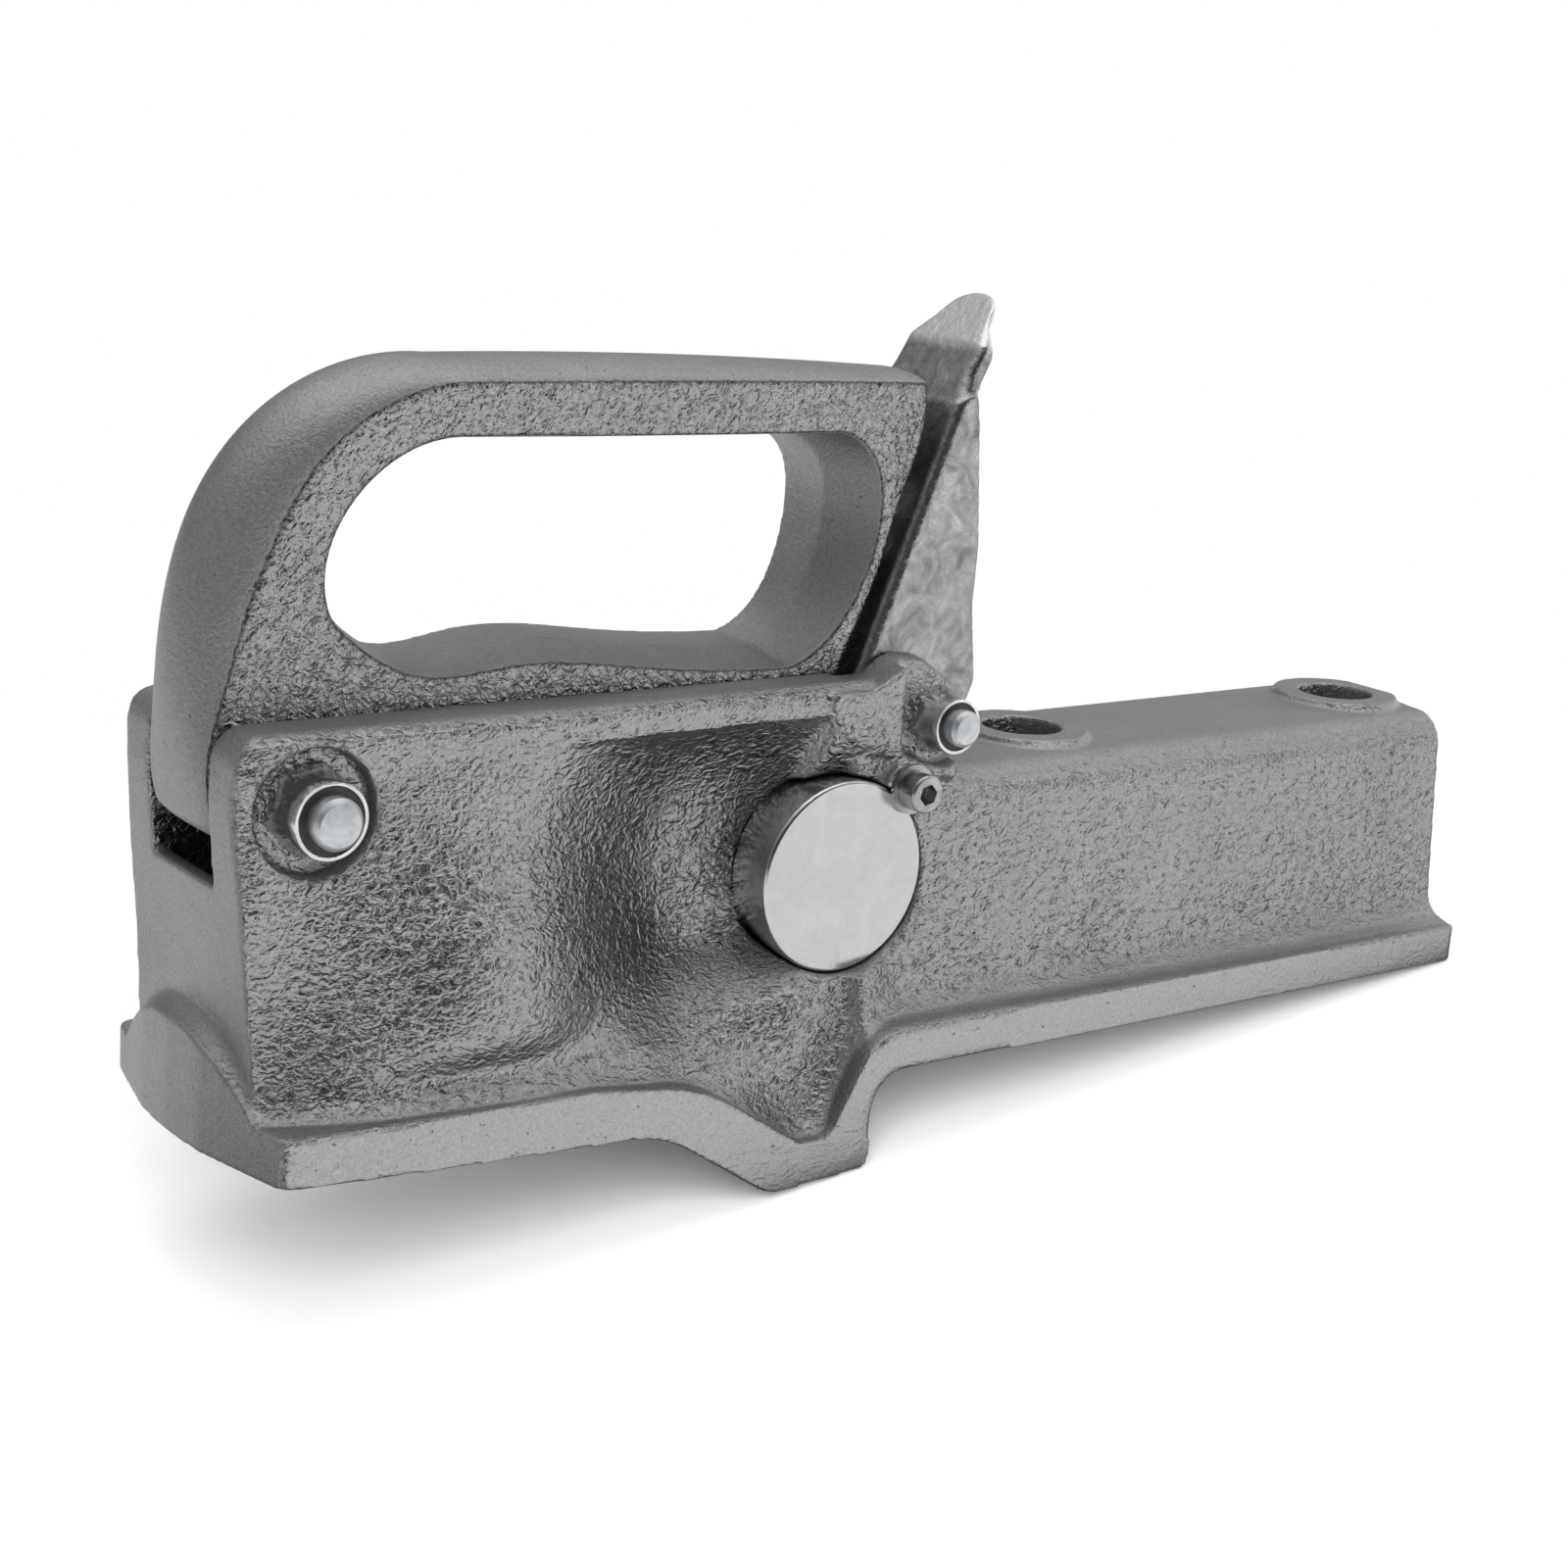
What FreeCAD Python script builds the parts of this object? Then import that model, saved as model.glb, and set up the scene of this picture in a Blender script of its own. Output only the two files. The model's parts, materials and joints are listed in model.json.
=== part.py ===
import FreeCAD, Part
import math
import os
from FreeCAD import Vector

os.makedirs("parts", exist_ok=True)

# Trailer coupling head for a 50 mm ball. Millimetres.
# Frame: origin at the ball's centre, +X to the rear along the drawbar,
# +Z up along the drawbar bolt holes, -Y is the side with the nuts.

# Driving sizes of the casting
SOCKET_R = 25.4            # ball of 50 mm with 0.4 mm of room
FLANGE_Z = -29.8           # underside of the rim
FLANGE_T = 9.2             # height of the ground band of the rim
FLANGE_HW = 37.2           # half width over the rim
NOSE_X = -50.8             # front end of the rim
NOSE_HW = 36.4             # half width of the rim at the nose
ARCH_TOP = -6.0            # crest of the nose plate
WALL_X = -46.4             # front wall behind the nose plate
NOSE_FILLET = 5.5          # how far the plate sweeps up at that wall
REAR_X = 280.5             # rear end of the drawbar section
WALL_TOP = 53.0            # top of the side walls beside the handle
WALL_ROUND = 3.2           # rounding along their outer top edges
HEAD_HW = 24.2             # half width over the side walls
BULGE_HW = 34.2            # half width over the socket
SECTION_TOP = 30.6         # top of the drawbar section
SECTION_HW = 23.6          # half width of the drawbar section at its top
SECTION_DRAFT = 4.0        # how much wider it is above the rim
TOP_ROUND = 10.0           # rounding along the top of the section
ROOT_ROUND = 7.0           # rounding where the section meets its rim
WALL_T = 7.2               # side wall of the drawbar section
ROOF_T = 8.0               # roof of the drawbar section
WAIST_HW = 13.9            # half width of the waist behind the socket
WAIST_X = 58.0             # where the waist is narrowest
LOBE_X = 81.0              # middle of the lobes that guard the jaw
LOBE_Z = -51.2             # underside of the lobes
LOBE_BAND = 10.0           # height of the ground band round the lobes
EAR_PAD_Z = 30.5           # lower edge of the raised pad round the latch's bolt

# Drawbar bolts
HOLE_R = 9.25
HOLE_PITCH = 107.0
HOLE_X1 = 160.0
BOSS_R = 15.5
BOSS_TOP = 33.0

# Handle
PIVOT_X, PIVOT_Z = -33.2, 37.9
HANDLE_T = 25.0            # thickness across the handle
HANDLE_TOP = 113.4         # top of the grip at its side faces
GRIP_CROWN = 4.9           # how far the grip's middle stands above its side faces
REAR_CROWN = 2.0           # the same at the rear end
CROWN_POWER = 0.62         # 0.5 is a half ellipse, 1 a parabola
HANDLE_FLOOR = 36.4        # underside of the handle
CHANNEL_CLEAR = 0.6        # between the handle and each wall
CHANNEL_FLOOR = 34.0
REST_GAP = 0.3             # between the handle and its rest pad
SILL_Z = 22.6              # sill of the slot in the front
NIB_X, NIB_Z = 105.0, 83.3 # root of the nib that the latch holds
NIB_L = 7.6
NIB_T = 7.8
NIB_HW = 4.0

# Cross pin and its jaw
PIN_X, PIN_Z = 90.0, 11.5
PIN_HEAD_R = 20.9
PIN_HEAD_T = 11.6
PIN_R = 12.0
BORE_CLEAR = 0.04          # running fit, on the radius
BUSH_WALL = 2.5
JAW_HW = 7.8
JAW_HEAD_HW = 13.0
JAW_CLEAR = 0.4            # between the jaw and each wall
JAW_HUB_R = 19.0
TAIL_X = 80.0              # front face of the jaw's tail, which the handle locks
SPRING_X = 51.0            # middle of the jaw's spring
SPRING_TOP = 20.0          # roof that the spring bears on

# Latch
LATCH_X, LATCH_Z = 116.2, 42.4
LATCH_HW = 15.0            # half width over the latch's side flanges
LATCH_HUB_R = 8.4          # lower end of the side flanges, round the bolt
SHEET = 2.0
LATCH_CLEAR = 0.6
FOLD_ROUND = 2.6           # outer rounding of the folds
FOLD_LOW = (100.4, 57.6)   # front face of the web: foot, top and crease of the tab
FOLD_HIGH = (119.8, 109.5)
CREASE = (127.3, 121.8)
TAB_HW = 13.0
TAB_LEAN = 43.0            # degrees from upright
TAB_L = 13.6
TAB_RIM = 4.0              # turned back edges of the tab and its neck
TIP_HW = 8.4

# Fasteners: thread radius, width across flats, head, nut, washer
M10 = {"r": 5.0, "af": 16.0, "head": 6.4, "nut": 10.0, "washer_r": 10.0, "washer_t": 2.0}
M8 = {"r": 4.0, "af": 13.0, "head": 5.3, "nut": 8.0, "washer_r": 8.0, "washer_t": 1.6}
FRONT_SEAT = 20.0          # |Y| of the nut's spot face
REAR_SEAT = 19.6
BOLT_OVER = 2.4            # thread that shows past the nut
BOLT_CLEAR = 0.1
CLIP_T = 1.6
CLIP_W = 3.2
SCREW_X, SCREW_Z = 106.2, 29.3
SCREW_R = 2.5
SCREW_HEAD_R = 4.2
SCREW_HEAD = 5.0
SCREW_DEPTH = 13.0
SCREW_WASHER_R = 5.4
SCREW_WASHER_T = 1.0
CAP_FACE = SECTION_HW + 1.9                         # |Y| of the pin's ends
RIM_TOP = FLANGE_Z + FLANGE_T
WALL_FOOT = WALL_TOP - 7.0                           # where the straight walls begin
FAR = 60.0                # past every side of the part, for cuts that run out


def corner_outline(corners, place):
    """Closed wire of straight runs and tangent arcs; a corner is (u, v, radius)."""
    count = len(corners)
    runs = []
    for i, (u, v, radius) in enumerate(corners):
        here = Vector(u, v, 0)
        before = Vector(corners[i - 1][0], corners[i - 1][1], 0) - here
        after = Vector(corners[(i + 1) % count][0], corners[(i + 1) % count][1], 0) - here
        room = 0.49 * min(before.Length, after.Length)
        before.normalize()
        after.normalize()
        half = before.getAngle(after) / 2
        reach = min(radius / math.tan(half), room) if radius else 0.0
        if reach:
            middle = (before + after).normalize()
            radius = reach * math.tan(half)
            crest = here + middle * (radius / math.sin(half) - radius)
            runs.append((here + before * reach, crest, here + after * reach))
        else:
            runs.append((here, None, here))
    edges = []
    for i, (start, crest, end) in enumerate(runs):
        if crest:
            edges.append(Part.Arc(place(start), place(crest), place(end)).toShape())
        edges.append(Part.LineSegment(place(end), place(runs[(i + 1) % count][0])).toShape())
    return Part.Wire(edges)


def plain(points):
    return [point if len(point) == 3 else (point[0], point[1], 0.0) for point in points]


def smooth_edge(points):
    """Smooth curve through points."""
    curve = Part.BSplineCurve()
    curve.interpolate(points)
    return curve.toShape()


def prism_y(points, y0, y1):
    """Prism of an XZ outline between two Y planes."""
    wire = corner_outline(plain(points), lambda p: Vector(p.x, y0, p.y))
    return Part.Face(wire).extrude(Vector(0, y1 - y0, 0))


def prism_x(points, x0, x1):
    """Prism of a YZ outline between two X planes."""
    wire = corner_outline(plain(points), lambda p: Vector(x0, p.x, p.y))
    return Part.Face(wire).extrude(Vector(x1 - x0, 0, 0))


def prism_z(points, z0, z1):
    """Prism of an XY outline between two Z planes."""
    wire = corner_outline(plain(points), lambda p: Vector(p.x, p.y, z0))
    return Part.Face(wire).extrude(Vector(0, 0, z1 - z0))


def rod_y(x, z, radius, y0, y1):
    return Part.makeCylinder(radius, y1 - y0, Vector(x, y0, z), Vector(0, 1, 0))


def ring_y(x, z, outer, inner, y0, y1):
    return rod_y(x, z, outer, y0, y1).cut(rod_y(x, z, inner, y0 - 1, y1 + 1))


def box(x0, x1, y0, y1, z0, z1):
    return Part.makeBox(x1 - x0, y1 - y0, z1 - z0, Vector(x0, y0, z0))


def mirrored(points):
    """Closed outline from its right half, mirrored in the first coordinate."""
    return points + [(-point[0],) + tuple(point[1:]) for point in reversed(points)]


def both_sides(points):
    """Closed outline from its upper half, mirrored in the second coordinate."""
    return points + [(point[0], -point[1]) + tuple(point[2:]) for point in reversed(points)]


def hexagon_y(x, z, flats, y0, y1, turn=12.0):
    corner = flats / math.sqrt(3)
    points = []
    for i in range(6):
        a = math.radians(60 * i + turn)
        points.append((x + corner * math.cos(a), z + corner * math.sin(a)))
    return prism_y(points, y0, y1)


# Stations of the head's skin, front to rear: the share of the lobes' drop that the rim has
# there, the ledge beside the skin's knee, then the half widths of the flank, the belly,
# the chest, the neck and the side wall.
SKIN = (
    (NOSE_X + 0.4, 0.0, 15.2, (21.5, 21.4, 21.4, 21.6, HEAD_HW - 1.6)),
    (WALL_X - 0.4, 0.0, 12.7, (HEAD_HW, HEAD_HW - 0.2, HEAD_HW - 0.2, HEAD_HW, HEAD_HW)),
    (-40.0, 0.0, 10.0, (26.2, 25.4, 24.8, 24.6, HEAD_HW)),
    (-30.0, 0.0, 7.2, (29.2, 28.0, 26.6, 25.2, HEAD_HW)),
    (-16.0, 0.0, 5.6, (BULGE_HW - 2.0, BULGE_HW - 2.4, 29.8, 26.4, HEAD_HW)),
    (0.0, 0.0, 5.0, (BULGE_HW - 0.4, BULGE_HW, BULGE_HW - 2.0, 27.2, HEAD_HW)),
    (15.0, 0.0, 5.6, (BULGE_HW - 1.8, BULGE_HW - 2.0, 29.6, 25.2, HEAD_HW)),
    (27.0, 0.02, 6.8, (28.6, 27.4, 24.4, 21.2, HEAD_HW - 0.2)),
    (38.0, 0.10, 7.6, (24.6, 21.8, 18.6, 17.2, HEAD_HW - 0.4)),
    (49.0, 0.27, 8.6, (21.4, 16.4, WAIST_HW + 0.7, WAIST_HW + 0.5, HEAD_HW - 0.8)),
    (60.0, 0.58, 6.8, (22.4, WAIST_HW + 0.9, WAIST_HW, WAIST_HW, HEAD_HW - 1.0)),
    (68.0, 0.84, 6.2, (24.0, WAIST_HW + 2.1, WAIST_HW, WAIST_HW, HEAD_HW - 1.1)),
    (75.0, 1.03, 5.8, (25.6, 17.8, WAIST_HW, WAIST_HW, HEAD_HW - 1.2)),
    (84.0, 0.90, 5.6, (27.0, 23.0, WAIST_HW + 2.1, WAIST_HW + 1.1, HEAD_HW - 1.2)),
    (92.0, 0.26, 5.6, (27.2, 25.6, SECTION_HW - 2.0, SECTION_HW - 3.6, HEAD_HW - 1.0)),
    (104.0, 0.0, 9.0, (26.8, 26.3, SECTION_HW + 1.6, SECTION_HW + 0.2, HEAD_HW - 0.8)),
)
FLANK_Z, BELLY_Z, CHEST_Z, NECK_Z = -10.0, -3.0, 10.0, 25.0


def head_section(x, drop, ledge, widths):
    """One closed section of the head: a smooth skin over a flat underside inside the rim."""
    flank, belly, chest, neck, ear = widths
    rim_top = RIM_TOP + drop * (LOBE_Z + LOBE_BAND - RIM_TOP)
    knee = FLANGE_HW - ledge
    foot = min(FLANGE_HW - 1.2, knee + 7.0)
    side = [
        (foot, rim_top - 3.0), (knee + 2.4, rim_top + 1.2), (knee, rim_top + 5.4),
        (flank, FLANK_Z), (belly, BELLY_Z), (chest, CHEST_Z), (neck, NECK_Z),
        ((neck + ear) / 2 - 0.7, (NECK_Z + WALL_TOP) / 2), (ear - 0.15, WALL_FOOT + 0.5),
    ]
    right = [Vector(x, y, z) for y, z in side]
    left = [Vector(x, -y, z) for y, z in reversed(side)]
    return Part.Wire([smooth_edge(right), Part.LineSegment(right[-1], left[0]).toShape(),
                      smooth_edge(left), Part.LineSegment(left[-1], right[0]).toShape()])


def head_skin():
    return Part.makeLoft([head_section(*station) for station in SKIN], True, False)


def side_walls():
    """Straight upper walls over the skin, rounded along their outer top edges."""
    waist = HEAD_HW - 1.2
    plan = both_sides([
        (NOSE_X + 0.4, waist), (WALL_X + 2.0, HEAD_HW, 20.0), (30.0, HEAD_HW, 60.0),
        (LOBE_X - 7.0, waist, 60.0), (LOBE_X + 24.0, HEAD_HW - 0.8),
    ])
    block = prism_z(plan, WALL_FOOT, WALL_TOP)
    edges = []
    for edge in block.Edges:
        ends = [vertex.Point for vertex in edge.Vertexes]
        if all(p.z > WALL_TOP - 0.01 for p in ends) and ends[0].y * ends[1].y > 0:
            edges.append(edge)
    return block.makeFillet(WALL_ROUND, edges)


def front_cut():
    """All that stands before the front wall and over the walls' rounded front corners."""
    low = LOBE_Z
    before = NOSE_X - 9.0
    behind = WALL_X + 14.0
    return prism_y([(before, low), (WALL_X + 1.0, low), (WALL_X + 1.0, ARCH_TOP - 8.0),
                    (WALL_X - 0.5, 8.0, 30.0), (WALL_X - 3.4, 40.0, 20.0),
                    (WALL_X - 2.6, WALL_TOP + 0.3, 7.0), (behind, WALL_TOP + 0.3),
                    (behind, WALL_TOP + FAR), (before, WALL_TOP + FAR)], -FAR, FAR)


def arch_wire(x, lift):
    """Section of the nose plate: an arch over a straight base, raised in its middle."""
    points = []
    for share, rise in ((-1.0, 0.0), (-0.77, 0.38), (-0.49, 0.79), (-0.28, 0.96), (0.0, 1.0)):
        z = RIM_TOP + 0.9 + rise * (ARCH_TOP - RIM_TOP - 0.9) + lift * (1 - share ** 4)
        points.append(Vector(x, share * NOSE_HW * 0.78, z))
    points += [Vector(x, -p.y, p.z) for p in reversed(points[:-1])]
    low = FLANGE_Z + 3.0
    base = Part.makePolygon([points[-1], Vector(x, points[-1].y, low), Vector(x, points[0].y, low),
                             points[0]])
    return Part.Wire([smooth_edge(points)] + base.Edges)


def nose_plate():
    """Front plate of the rim, filleted up to the front wall."""
    rings = []
    for i in range(7):
        a = math.radians(15 * i)
        x = NOSE_X + (WALL_X + 1.0 - NOSE_X) * math.sin(a)
        rings.append(arch_wire(x, NOSE_FILLET * (1 - math.cos(a))))
    rings.append(arch_wire(WALL_X + 2.0, NOSE_FILLET))
    return Part.makeLoft(rings, True, True).common(prism_z(rim_plan(), LOBE_Z, WALL_TOP))


def drawbar_section():
    """Inverted channel behind the head, with a slightly crowned roof."""
    low = SECTION_HW + SECTION_DRAFT
    foot = RIM_TOP
    half = [
        (FLANGE_HW - 1.0, foot - 3.0), (FLANGE_HW - 1.0, foot - 0.4), (low, foot + 2.0, ROOT_ROUND),
        (SECTION_HW, SECTION_TOP, TOP_ROUND), (SECTION_HW * 0.4, SECTION_TOP + 0.8, 60.0),
    ]
    return prism_x(mirrored(half), LOBE_X + 20.0, REAR_X)


def rim_plan():
    """Plan of the rim: a blunt nose of nearly the full width."""
    half = [
        (NOSE_X, 0.0), (NOSE_X + 0.6, NOSE_HW * 0.33, 20.0), (NOSE_X + 4.6, NOSE_HW * 0.82, 20.0),
        (NOSE_X + 6.2, NOSE_HW, 3.5), (-18.0, FLANGE_HW, 30.0), (REAR_X, FLANGE_HW, 2.5),
    ]
    return half + [(x, -y) + tuple(rest) for x, y, *rest in reversed(half[1:])]


def rim():
    """Ground band round the part, which dips under the jaw as two lobes."""
    under = [
        (NOSE_X - 1, FLANGE_Z + 0.9), (LOBE_X - 42.0, FLANGE_Z - 3.4, 30.0),
        (LOBE_X - 14.0, LOBE_Z - 0.2, 9.0), (LOBE_X + 11.9, LOBE_Z + 1.2, 2.5),
        (LOBE_X + 13.0, FLANGE_Z + 0.2, 8.0), (REAR_X, FLANGE_Z),
    ]
    lobe_top = LOBE_Z + LOBE_BAND
    over = [
        (NOSE_X - 1, RIM_TOP + 1.4), (LOBE_X - 59.0, RIM_TOP - 0.2, 60.0),
        (LOBE_X - 33.0, RIM_TOP - 3.8, 40.0), (LOBE_X - 6.5, lobe_top - 0.2, 5.0),
        (LOBE_X + 0.6, lobe_top, 4.0),
        (LOBE_X + 12.4, RIM_TOP + 0.8, 12.0), (REAR_X, RIM_TOP),
    ]
    band = prism_y(under + list(reversed(over)), -FAR, FAR)
    return band.common(prism_z(rim_plan(), LOBE_Z - 5, WALL_TOP))


def rear_ear(side):
    """Wall that carries the latch's bolt: it narrows outwards to a raised pad."""
    x = LATCH_X
    base = EAR_PAD_Z - 8.5
    inner = [
        (x - 36, base), (x - 36, 50.6, 2.0), (x - 20.5, 52.0, 4.0), (x - 13, 57.8, 8.0),
        (x - 4, 56.8, 8.0), (x + 9.6, 48.2, 3.0), (x + 8.4, 38.0, 4.0), (x + 6.4, base),
        (x - 5, base - 0.6), (x - 12, base - 0.3),
    ]
    outer = [
        (x - 28, 42.8), (x - 32.4, 51.6, 2.0), (x - 21.6, 50.9, 4.0), (x - 11, 55.8, 8.0),
        (x - 2.7, 53.9, 8.0), (x + 5.0, 47.2, 3.0), (x + 3.8, 38.0, 4.0), (x + 3.8, EAR_PAD_Z),
        (x - 5, EAR_PAD_Z), (x - 12.2, EAR_PAD_Z + 5.0),
    ]
    rings = []
    for points, y in ((inner, LATCH_HW - 1.0), (outer, HEAD_HW)):
        rings.append(corner_outline(plain(points), lambda p, at=side * y: Vector(p.x, at, p.y)))
    return Part.makeLoft(rings, True, True)


def bosses():
    room = box(-FAR, REAR_X, -FAR, FAR, -FAR, FAR)
    parts = []
    for x in (HOLE_X1, HOLE_X1 + HOLE_PITCH):
        foot = Part.makeCone(BOSS_R + 3.0, BOSS_R, 4.2, Vector(x, 0, BOSS_TOP - 5.0))
        top = Part.makeCylinder(BOSS_R, 0.8, Vector(x, 0, BOSS_TOP - 0.8))
        parts.append(foot.fuse(top).common(room))
    return parts


def rest_pad():
    """Pad on the channel's floor that the handle comes down on."""
    return box(WAIST_X - 14, WAIST_X + 2, -10, 10, CHANNEL_FLOOR - 1, HANDLE_FLOOR - REST_GAP)


def handle_channel():
    hw = HANDLE_T / 2 + CHANNEL_CLEAR
    high = WALL_TOP + 30
    pocket = [
        (NOSE_X - 5, SILL_Z), (-44.5, SILL_Z), (-42.0, 15.0, 2.0), (-25.0, 15.0, 6.0),
        (-5.0, CHANNEL_FLOOR, 6.0), (140.0, CHANNEL_FLOOR), (140.0, high), (NOSE_X - 5, high),
    ]
    wide = LATCH_HW + LATCH_CLEAR
    latch_bay = box(91.0, 140.0, -wide, wide, LATCH_Z - LATCH_HUB_R - LATCH_CLEAR, high)
    return prism_y(pocket, -hw, hw).fuse(latch_bay)


def inside():
    """Everything that is cast open from below."""
    socket = Part.makeSphere(SOCKET_R)
    socket = socket.fuse(Part.makeCylinder(SOCKET_R, FAR, Vector(0, 0, -FAR)))
    mouth = Part.makeCone(SOCKET_R + 4, SOCKET_R, 6, Vector(0, 0, FLANGE_Z - 3.4))
    waist = JAW_HW + JAW_CLEAR
    front = box(15, 66, -waist, waist, -FAR, SPRING_TOP)
    hub = box(64, 118, -waist, waist, -FAR, CHANNEL_FLOOR - 2.0)
    window = box(TAIL_X - 18, 104, -waist, waist, 20, CHANNEL_FLOOR + 6)
    bay = box(14, 42, -JAW_HEAD_HW - 1, JAW_HEAD_HW + 1, -FAR, 3)
    skirt = [(waist, -6), (13, -14), (23, -34, 10.0), (27.0, -44.0, 6.0), (27.5, -FAR)]
    lobe_bay = prism_x(mirrored(skirt), 24, 108)
    inner = SECTION_HW + SECTION_DRAFT - WALL_T
    roof = SECTION_TOP - ROOF_T
    channel = [(inner, -FAR), (inner, FLANGE_Z), (inner - SECTION_DRAFT, roof, 4.0)]
    drawbar = prism_x(mirrored(channel), 112, REAR_X + 5)
    return [socket, mouth, front, hub, window, bay, lobe_bay, drawbar]


def spot_face(x, z, radius, seat, side):
    """Recess for a nut or a bolt head, open to the outside."""
    y0, y1 = (seat, FAR) if side > 0 else (-FAR, -seat)
    return rod_y(x, z, radius, y0, y1)


def ear_pocket(side):
    """Step in front of the rear nut, open at the top of the ear."""
    x, z = LATCH_X, LATCH_Z
    outline = [(x - 12.2, z + 20), (x - 12.2, z - 5.8, 4.0), (x, z - 9.4, 6.0), (x + 6, z + 20)]
    y0, y1 = (REAR_SEAT, FAR) if side > 0 else (-FAR, -REAR_SEAT)
    return prism_y(outline, y0, y1)


def coupling_body():
    body = head_skin().fuse(side_walls()).cut(front_cut())
    screw_pad = rod_y(SCREW_X, SCREW_Z, SCREW_WASHER_R + 1.2, -CAP_FACE, -10)
    body = body.fuse([drawbar_section(), rim(), nose_plate(), rear_ear(1), rear_ear(-1),
                      screw_pad] + bosses())
    cuts = inside() + [handle_channel()]
    for x in (HOLE_X1, HOLE_X1 + HOLE_PITCH):
        cuts.append(Part.makeCylinder(HOLE_R, FAR, Vector(x, 0, 0)))
    cuts.append(rod_y(PIVOT_X, PIVOT_Z, M10["r"] + BOLT_CLEAR, -FAR, FAR))
    cuts.append(rod_y(LATCH_X, LATCH_Z, M8["r"] + BOLT_CLEAR, -FAR, FAR))
    for side in (1, -1):
        cuts.append(spot_face(PIVOT_X, PIVOT_Z, M10["washer_r"] + 2.2, FRONT_SEAT, side))
        cuts.append(spot_face(LATCH_X, LATCH_Z, M8["washer_r"] + 1.6, REAR_SEAT, side))
        cuts.append(ear_pocket(side))
    cuts.append(rod_y(PIN_X, PIN_Z, PIN_R + BORE_CLEAR, -FAR, FAR))
    cuts.append(spot_face(PIN_X, PIN_Z, PIN_HEAD_R + 0.3, CAP_FACE - PIN_HEAD_T, -1))
    cuts.append(spot_face(PIN_X, PIN_Z, PIN_R + CLIP_W + 1.8, CAP_FACE - 5.0, 1))
    cuts.append(rod_y(SCREW_X, SCREW_Z, SCREW_R + 0.02, -FAR, -CAP_FACE + SCREW_DEPTH + 1))
    cuts.append(spot_face(SCREW_X, SCREW_Z, SCREW_WASHER_R + 0.8, CAP_FACE, -1))
    return body.cut(cuts).fuse(rest_pad())


# Side view of the handle at its side faces. The second pair of each corner is where the
# crown or the parting line lies at mid width.
def outer_runs():
    top = HANDLE_TOP
    floor = HANDLE_FLOOR
    front = [
        ((-47.6, 34.0), (-50.2, 34.0)), ((-48.6, 46.0), (-51.8, 47.0)),
        ((-45.0, 58.0), (-52.6, 61.0)), ((-41.0, 70.5), (-51.4, 75.0)),
        ((-35.2, 84.6), (-47.2, 89.8)), ((-29.7, 95.0), (-40.2, 101.2)),
        ((-22.1, 103.7), (-29.4, 110.8)), ((-10.3, 110.7), (-14.0, top + 3.8)),
        ((2.0, top), (0.0, top + GRIP_CROWN)),
    ]
    grip = [
        ((2.0, top), (0.0, top + GRIP_CROWN)), ((58.0, top), (57.0, top + GRIP_CROWN - 0.4)),
        ((112.5, top - 0.2), (113.0, top + REAR_CROWN)),
    ]
    rear = [
        ((112.5, top - 0.2), (113.0, top + REAR_CROWN)), ((111.8, 100.0), (112.6, 100.6)),
        ((107.4, 88.0), (108.3, 88.2)), ((102.8, 72.5), (103.8, 72.7)),
        ((96.8, 59.0), (97.8, 59.2)), ((93.5, floor), (94.5, floor)),
    ]
    under = [((93.5, floor), (94.5, floor)), ((4.0, floor), (4.0, floor))]
    heel = [
        ((4.0, floor), (4.0, floor)), ((-14.0, 34.6), (-14.0, 34.6)), ((-24.0, 29.2), (-24.0, 29.2)),
        ((-35.0, 27.2), (-35.0, 27.2)), ((-43.0, 29.2), (-43.4, 29.2)), ((-47.6, 34.0), (-50.2, 34.0)),
    ]
    return [front, grip, rear, under, heel]


def window_runs():
    """The grip's window: its edge on the side faces, and at mid width."""
    top = HANDLE_TOP - 10.0
    lower = [
        ((-25.3, 71.3), (-22.0, 71.3)), ((-18.0, 64.6), (-15.6, 65.6)), ((-6.0, 59.0), (-5.6, 60.4)),
        ((14.0, 59.6), (13.6, 61.8)), ((46.0, 57.0), (46.0, 59.8)), ((81.8, 54.6), (79.6, 57.4)),
    ]
    rear = [
        ((81.8, 54.6), (79.6, 57.4)), ((93.5, 62.4), (89.2, 63.6)), ((99.6, 72.2), (94.4, 73.2)),
        ((102.8, 82.0), (96.6, 83.0)), ((101.6, 95.2), (95.6, 94.4)), ((91.0, top), (86.0, top - 1.4)),
    ]
    upper = [((91.0, top), (86.0, top - 1.4)), ((40.0, top + 0.2), (40.0, top - 1.2)),
             ((2.5, top + 0.6), (4.0, top - 1.0))]
    front = [
        ((2.5, top + 0.6), (4.0, top - 1.0)), ((-10.5, 101.4), (-7.6, 99.4)),
        ((-21.3, 92.7), (-17.4, 91.2)), ((-26.2, 83.0), (-22.4, 82.2)), ((-25.3, 71.3), (-22.0, 71.3)),
    ]
    return [lower, rear, upper, front]


def ring_at(runs, y, share):
    """Closed wire at a Y plane, part of the way from the side edge to the mid width edge."""
    edges = []
    for run in runs:
        points = [Vector(a[0] + share * (b[0] - a[0]), y, a[1] + share * (b[1] - a[1])) for a, b in run]
        if len(points) == 2:
            edges.append(Part.LineSegment(points[0], points[1]).toShape())
        else:
            edges.append(smooth_edge(points))
    return Part.Wire(edges)


def crowned(runs, half):
    """Loft across the handle; the crown follows a rounded profile to mid width."""
    steps = (-1.0, -0.94, -0.72, -0.36, 0.0, 0.36, 0.72, 0.94, 1.0)
    rings = [ring_at(runs, step * half, (1.0 - step * step) ** CROWN_POWER) for step in steps]
    return Part.makeLoft(rings, True, False)


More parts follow.
